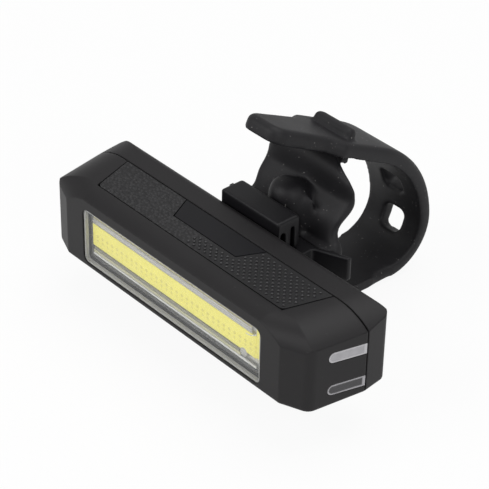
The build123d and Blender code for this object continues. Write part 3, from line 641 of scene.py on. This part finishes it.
# %% Wider crest
voxel = 0.4
strap_shape = rebuilt("strap_source", nodes["rubber_strap"], voxel)
saddle_verts = [vert for vert in strap_shape.verts if on_saddle(vert.co)]
for vert in saddle_verts:
    level, reach = vert.co.z / MM, abs(vert.co.x) / MM
    wider = 1.2 * ramp(level, 6, 9) + 2.0 * ramp(level, 11.5, 14) - 0.8 * ramp(level, 16, 19)
    wider *= ramp(reach, 4, 8)
    vert.co.x += (wider if vert.co.x > 0 else -wider) * MM
print("points", len(strap_shape.verts), "of them on the saddle", len(saddle_verts))

# %% [markdown]
# Next comes the tail, where the saddle runs into the band under the bar. Its width is measured
# in steps of the angle round the bar. Each step is squeezed to a smooth curve, which ends just
# wider than the band.

# %% Tapered tail
tail_from = 8
tail_to = 75
tail_reach = 110
turn_step = 2
flange = [
    vert for vert in strap_shape.verts
    if tail_from < turn_of(vert.co) < tail_reach and abs(vert.co.x) / MM > band_half
]
reached = {}
for vert in flange:
    step = int(turn_of(vert.co) / turn_step)
    reached[step] = max(reached.get(step, band_half), abs(vert.co.x) / MM)
start_half = reached[min(reached)]
for vert in flange:
    turned = turn_of(vert.co)
    share = (abs(vert.co.x) / MM - band_half) / (reached[int(turned / turn_step)] - band_half)
    taper = 1 - ramp(turned, tail_from, tail_to)
    wanted = band_half + 0.1 + (start_half - band_half) * taper * taper * (3 - 2 * taper)
    half = min(abs(vert.co.x) / MM, band_half + share * (wanted - band_half))
    vert.co.x = (half if vert.co.x > 0 else -half) * MM
print("points on the tail", len(flange), "half width at its start", round(start_half, 1), "mm")

# %% [markdown]
# Then comes the tab, which leans back under the tongue and carries the hook. The photograph
# shows air beside it, so it gets narrower behind the crest. The band above it keeps its width.

# %% Narrow tab
tab_narrowing = 0.7
narrowed = 0
for vert in strap_shape.verts:
    place = vert.co / MM
    top = strap_level - 0.2 if abs(place.x) < band_half + 0.2 else strap_level + 2
    if 8 < place.z and place.y < 5.7 and 9 < place.dot(lean) < top:
        vert.co.x *= 1 - tab_narrowing * ramp(place.y, -9, -5)
        narrowed += 1
print("points on the tab", narrowed)

# %% [markdown]
# Last comes the relaxing. The whole strap gets a little, the band under the bar and the saddle
# get more, and the crest gets the most, because its creases are the softest. The nose is left
# out of the long rounds, so it keeps its form.

# %% Soft strap
relax(strap_shape, strap_shape.verts[:], 3)
relax(strap_shape, [vert for vert in strap_shape.verts if under_bar(vert.co)], 25)
relax(strap_shape, saddle_verts, 7)
relax(strap_shape, [vert for vert in saddle_verts if not on_nose(vert.co)], 16)
relax(strap_shape, [vert for vert in saddle_verts if on_crest(vert.co)], 50)
relax(strap_shape, saddle_verts, 8)
soft_strap = make_piece("soft_strap", strap_shape, strap_rubber, "rubber", body="strap_mount")
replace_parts(soft_strap, "rubber_strap")

# %% [markdown]
# The clip and the bracket are hard plastic with edges rounded by less than half a millimetre.
# The same rebuilding from voxels, with smaller ones and little relaxing, rounds them just so.

# %% Soft edges on the clip and the bracket
fine_voxel = 0.25
for name, node, body, times in (
    ("soft_clip", "rear_clip", "lamp", 5),
    ("soft_bracket", "bracket_base", "strap_mount", 4),
):
    shape = rebuilt(name + "_source", nodes[node], fine_voxel)
    relax(shape, shape.verts[:], times)
    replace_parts(make_piece(name, shape, clip_plastic, "clip_plastic", body=body), node)

# %% [markdown]
# The right part of the panel has low raised dots in staggered rows. One dot is a short cone
# with its tip cut off. It is repeated along each row, and a dot is left out where it would meet
# the power button or the panel's slanted end.

# %% Grip dots
dot_radius = 0.29
dot_top_share = 0.45
dot_height = 0.2
dot_pitch = 1.5
row_pitch = 0.74
dot_sides = 8
dots_start = -0.5
front_gap = 0.9
back_gap = 0.6
side_gap = 0.8
pad_gap = 0.7
panel_front = panel_low.y / MM
panel_back = panel_high.y / MM
panel_top = panel_high.z / MM
pad_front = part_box("power_button")[0].y / MM
panel_front_half = 25.6
panel_back_half = 28.5
pad_front_half = 8.5
pad_back_half = 11.0


def half_width(front_half, back_half, front, y):
    """Half of a slanted plate's width at that depth."""
    return front_half + (back_half - front_half) * (y - front) / (panel_back - front)


def dot_places():
    """Staggered places on the panel, clear of its edges and of the button."""
    row = 0
    y = panel_front + front_gap
    while y < panel_back - back_gap:
        x = dots_start + (row % 2) * dot_pitch / 2
        while x < half_width(panel_front_half, panel_back_half, panel_front, y) - side_gap:
            clear = half_width(pad_front_half, pad_back_half, pad_front, y) + side_gap
            if y < pad_front - pad_gap or x > clear:
                yield x, y
            x += dot_pitch
        y += row_pitch
        row += 1


dots = bmesh.new()
for x, y in dot_places():
    middle = Matrix.Translation(Vector((x, y, panel_top + dot_height / 2)) * MM)
    bmesh.ops.create_cone(
        dots, cap_ends=True, segments=dot_sides, matrix=middle,
        radius1=dot_radius * MM, radius2=dot_radius * dot_top_share * MM, depth=dot_height * MM,
    )
make_piece("grip_dots", dots, dot_rubber, "rubber")
print("dots", len(list(dot_places())))

# %% [markdown]
# The real lens bends light so strongly that mirrored lines and a longer strip show through it.
# Here thin bars between the lens and the bright frame stand for them: a yellow gleam and a
# silver band over the strip, a grey, a pale and a white line under it, and a yellow gleam at
# its right end. The gel itself is such a bar too, a little longer than the strip in the CAD
# model. Each bar is a cube that is scaled and bevelled.

# %% Layers behind the lens
lens_low, lens_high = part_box("lens")
plate_back = lens_low.y / MM + 1.0
frame_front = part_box("reflector_frame")[0].y / MM
bar_edge = 0.12
gel_edge = 0.14
gap = 0.03


def polished(name, tone, gloss, metal, grain):
    paint = Paint(name)
    lines = (paint.z + paint.streaks(0.5, 40) * 0.4).part_of(grain).size() * 2
    paint.bump(lines, 0.03)
    darker = tuple(channel * 0.62 for channel in tone)
    return paint.finish(
        Base_Color=paint.blend(lines, tone, darker), Roughness=gloss + lines * 0.08, Metallic=metal,
    )


def long_bar(name, x_from, x_to, z_from, z_to, y_from, y_to, edge, finish, slot):
    """A bar with rounded edges between two corners, in millimetres."""
    shape = bmesh.new()
    middle = Vector(((x_from + x_to) / 2, (y_from + y_to) / 2, (z_from + z_to) / 2)) * MM
    size = Vector((x_to - x_from, y_to - y_from, z_to - z_from)) * MM
    bmesh.ops.create_cube(
        shape, size=1.0, matrix=Matrix.Translation(middle) @ Matrix.Diagonal((*size, 1)),
    )
    bmesh.ops.bevel(
        shape, geom=shape.edges[:], offset=edge * MM, segments=3, profile=0.5, affect="EDGES",
        material=-1,
    )
    return make_piece(name, shape, finish, slot)


gel_front = plate_back + 0.2
gel_half = 24.0
gleam_length = 1.5
bar_depths = (plate_back + 0.12, frame_front - gap)
silver = polished("silver_foil", (0.66, 0.65, 0.62), 0.2, 0.3, 0.55)
yellow_gleam = polished("yellow_gleam", (0.62, 0.56, 0.22), 0.25, 0.1, 0.7)
pale_gleam = polished("pale_gleam", (0.72, 0.69, 0.42), 0.25, 0.1, 0.6)
grey_gleam = polished("grey_gleam", (0.34, 0.33, 0.26), 0.25, 0.1, 0.6)
white_gleam = polished("white_gleam", (0.86, 0.86, 0.84), 0.2, 0.1, 0.5)
bars = (
    ("upper_gleam", -23.6, 21.3, 4.62, 5.25, yellow_gleam),
    ("silver_band", -23.9, 21.2, 3.3, 4.5, silver),
    ("grey_line", -23.6, 18.0, -2.45, -1.9, grey_gleam),
    ("lower_gleam", -23.8, 18.4, -3.2, -2.58, pale_gleam),
    ("white_line", -23.9, 22.6, -3.8, -3.35, white_gleam),
)
for name, x_from, x_to, z_from, z_to, finish in bars:
    long_bar(name, x_from, x_to, z_from, z_to, *bar_depths, bar_edge, finish, "bright_frame")
gel_strip = long_bar(
    "gel_strip", -gel_half, gel_half - gleam_length - 0.1, strip_low.z / MM + 0.05,
    strip_high.z / MM, gel_front, frame_front - gap, gel_edge, phosphor, "phosphor",
)
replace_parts(gel_strip, "cob_strip")
long_bar(
    "end_gleam", gel_half - gleam_length, gel_half, -1.35, 5.2, *bar_depths, bar_edge,
    phosphor, "phosphor",
)
print("layers between", round(plate_back, 2), "and", round(frame_front, 2), "mm")

# %% [markdown]
# At its right end the lens shows a bright curl and a peg, where the moulding turns into its end
# wall. The curl is a painted highlight, a small white circle that is spun round part of a turn.
# The peg is a short cylinder with its front edge bevelled.

# %% Curl and peg at the right end
curl_radius = 3.9
curl_wire = 0.15
curl_turn = -62
peg_radius = 0.95
peg_depth = 0.38
peg_edge = 0.16
middle_depth = bar_depths[0] + 0.2
curl_centre = Vector((19.6, middle_depth, 6.4)) * MM
highlight_curl = bmesh.new()
curl_start = curl_centre - Vector((0, 0, curl_radius * MM))
section = Matrix.Translation(curl_start) @ Matrix.Rotation(radians(90), 4, "Y")
bmesh.ops.create_circle(highlight_curl, cap_ends=False, segments=10, radius=curl_wire * MM, matrix=section)
bmesh.ops.spin(
    highlight_curl, geom=highlight_curl.verts[:] + highlight_curl.edges[:], cent=curl_centre, axis=(0, 1, 0),
    angle=radians(curl_turn), steps=14,
)
bmesh.ops.holes_fill(highlight_curl, edges=[edge for edge in highlight_curl.edges if edge.is_boundary])
# The white curl is a painted highlight.
make_piece("end_highlight_curl", highlight_curl, white_gleam, "bright_frame")

peg = bmesh.new()
peg_centre = Vector((19.2, middle_depth, -2.0)) * MM
peg_place = Matrix.Translation(peg_centre) @ Matrix.Rotation(radians(90), 4, "X")
bmesh.ops.create_cone(
    peg, cap_ends=True, segments=28, radius1=peg_radius * MM, radius2=peg_radius * MM,
    depth=peg_depth * MM, matrix=peg_place,
)
front_ring = [edge for edge in peg.edges if all(vert.co.y < peg_centre.y for vert in edge.verts)]
bmesh.ops.bevel(
    peg, geom=front_ring, offset=peg_edge * MM, segments=3, profile=0.5, affect="EDGES",
    material=-1,
)
make_piece("end_peg", peg, silver, "bright_frame")

# %% [markdown]
# The lens is a thick clear moulding, and its outer wall catches light all round as a pale
# border. The border is a rounded plate that is inset, opened in the middle and given a depth.
# It stands out of the lens by a fiftieth of a millimetre, so the two faces never lie in one.

# %% Lens border
border_width = 0.42
border_corner = 1.1
border_depth = 0.7
border_lift = 0.02
lens_middle = (lens_low + lens_high) / 2
border = bmesh.new()
plate_size = Matrix.Diagonal((lens_high.x - lens_low.x, lens_high.z - lens_low.z, 1, 1))
border_place = Matrix.Translation((lens_middle.x, lens_low.y, lens_middle.z))
facing = border_place @ Matrix.Rotation(radians(90), 4, "X")
bmesh.ops.create_grid(border, x_segments=1, y_segments=1, size=0.5, matrix=facing @ plate_size)
bmesh.ops.bevel(
    border, geom=border.verts[:], offset=border_corner * MM, segments=5, profile=0.5,
    affect="VERTICES", material=-1,
)
bmesh.ops.inset_region(
    border, faces=border.faces[:], thickness=border_width * MM, use_boundary=True,
    use_even_offset=True,
)
middle_face = max(border.faces, key=lambda face: face.calc_area())
bmesh.ops.delete(border, geom=[middle_face], context="FACES")
ring = bmesh.ops.extrude_face_region(border, geom=border.faces[:])
ring_verts = [part for part in ring["geom"] if isinstance(part, bmesh.types.BMVert)]
bmesh.ops.translate(border, verts=ring_verts, vec=Vector((0, border_depth * MM, 0)))
bmesh.ops.translate(border, verts=border.verts[:], vec=Vector((0, -border_lift * MM, 0)))
pale_wall = clear_plastic("pale_wall", 0.8, (0.52, 0.52, 0.50), 0.08)
make_piece("lens_border", border, pale_wall, "clear_plastic", smooth=False)

# %% [markdown]
# The stage is a pale floor and soft lamps. The floor lies just under the strap. The camera sees
# it as nearly white, and mirrors and clear pieces see part of that white. The object's shadow
# still shows a little, because the rest of what the camera sees is the lit floor.

# %% Floor
mirror_share = 0.3
floor_white = 0.92
floor_gap = 0.5 * MM
floor_half = 2.5


def white_share(owner, camera_share):
    """How much plain white a surface shows: to the camera, and to mirrors and clear pieces."""
    rays = owner.node("ShaderNodeLightPath").outputs
    seen = Value(owner, rays["Is Camera Ray"])
    mirrored = Value(owner, rays["Is Glossy Ray"]) + Value(owner, rays["Is Transmission Ray"])
    return (seen * camera_share + mirrored * mirror_share).clamped()


floor_shape = bmesh.new()
bmesh.ops.create_grid(
    floor_shape, x_segments=1, y_segments=1, size=floor_half,
    matrix=Matrix.Translation((0, 0, cad_box[0].z - floor_gap)),
)
floor_mesh = bpy.data.meshes.new("floor")
floor_shape.to_mesh(floor_mesh)
floor_shape.free()
floor = bpy.data.objects.new("floor", floor_mesh)
bpy.context.scene.collection.objects.link(floor)

floor_paint = Paint("pale_floor")
glow = floor_paint.node("ShaderNodeEmission", {}, {"Color": (1.0, 1.0, 1.0), "Strength": 1.0})
floor_paint.finish(Base_Color=(0.86, 0.86, 0.86), Roughness=0.9)
mix = floor_paint.node("ShaderNodeMixShader", {}, {
    0: white_share(floor_paint, floor_white), 1: floor_paint.shader.outputs[0], 2: glow.outputs[0],
})
floor_paint.feed(floor_paint.tree.nodes["Material Output"].inputs["Surface"], mix.outputs[0])
floor_mesh.materials.append(floor_paint.material)
print("floor at", round(cad_box[0].z / MM, 2), "mm")

# %% [markdown]
# Three large square lamps light the object: a key from the front left, a fill from the right
# and a top light a little behind it. The world adds an even, dim grey, the camera sees it as
# white, and mirrors and clear pieces see it in between.

# %% Lamps and world
lamp_aim = Vector((0, -0.02, 0))
dim_light = 0.28


def soft_lamp(name, place, side, watts):
    """A square lamp that looks at the object, with its place and side in metres."""
    data = bpy.data.lights.new(name, "AREA")
    data.size = side
    data.energy = watts
    lamp = bpy.data.objects.new(name, data)
    aim = (lamp_aim - Vector(place)).to_track_quat("-Z", "Y").to_matrix().to_4x4()
    lamp.matrix_world = Matrix.Translation(Vector(place)) @ aim
    bpy.context.scene.collection.objects.link(lamp)


soft_lamp("key", (-0.25, -0.75, 0.55), 0.6, 4.0)
soft_lamp("fill", (0.85, -0.25, 0.45), 0.6, 2.6)
soft_lamp("top", (0.0, 0.25, 0.95), 0.8, 5.0)

world = bpy.data.worlds.new("studio")
bpy.context.scene.world = world
sky = Nodes(world)
backdrop = sky.tree.nodes["Background"]
sky.feed(backdrop.inputs["Color"], (1.0, 1.0, 1.0))
sky.feed(backdrop.inputs["Strength"], white_share(sky, 1.0) * (1 - dim_light) + dim_light)
bpy.context.scene.view_settings.view_transform = "Standard"
print("lamps", len(bpy.data.lights))
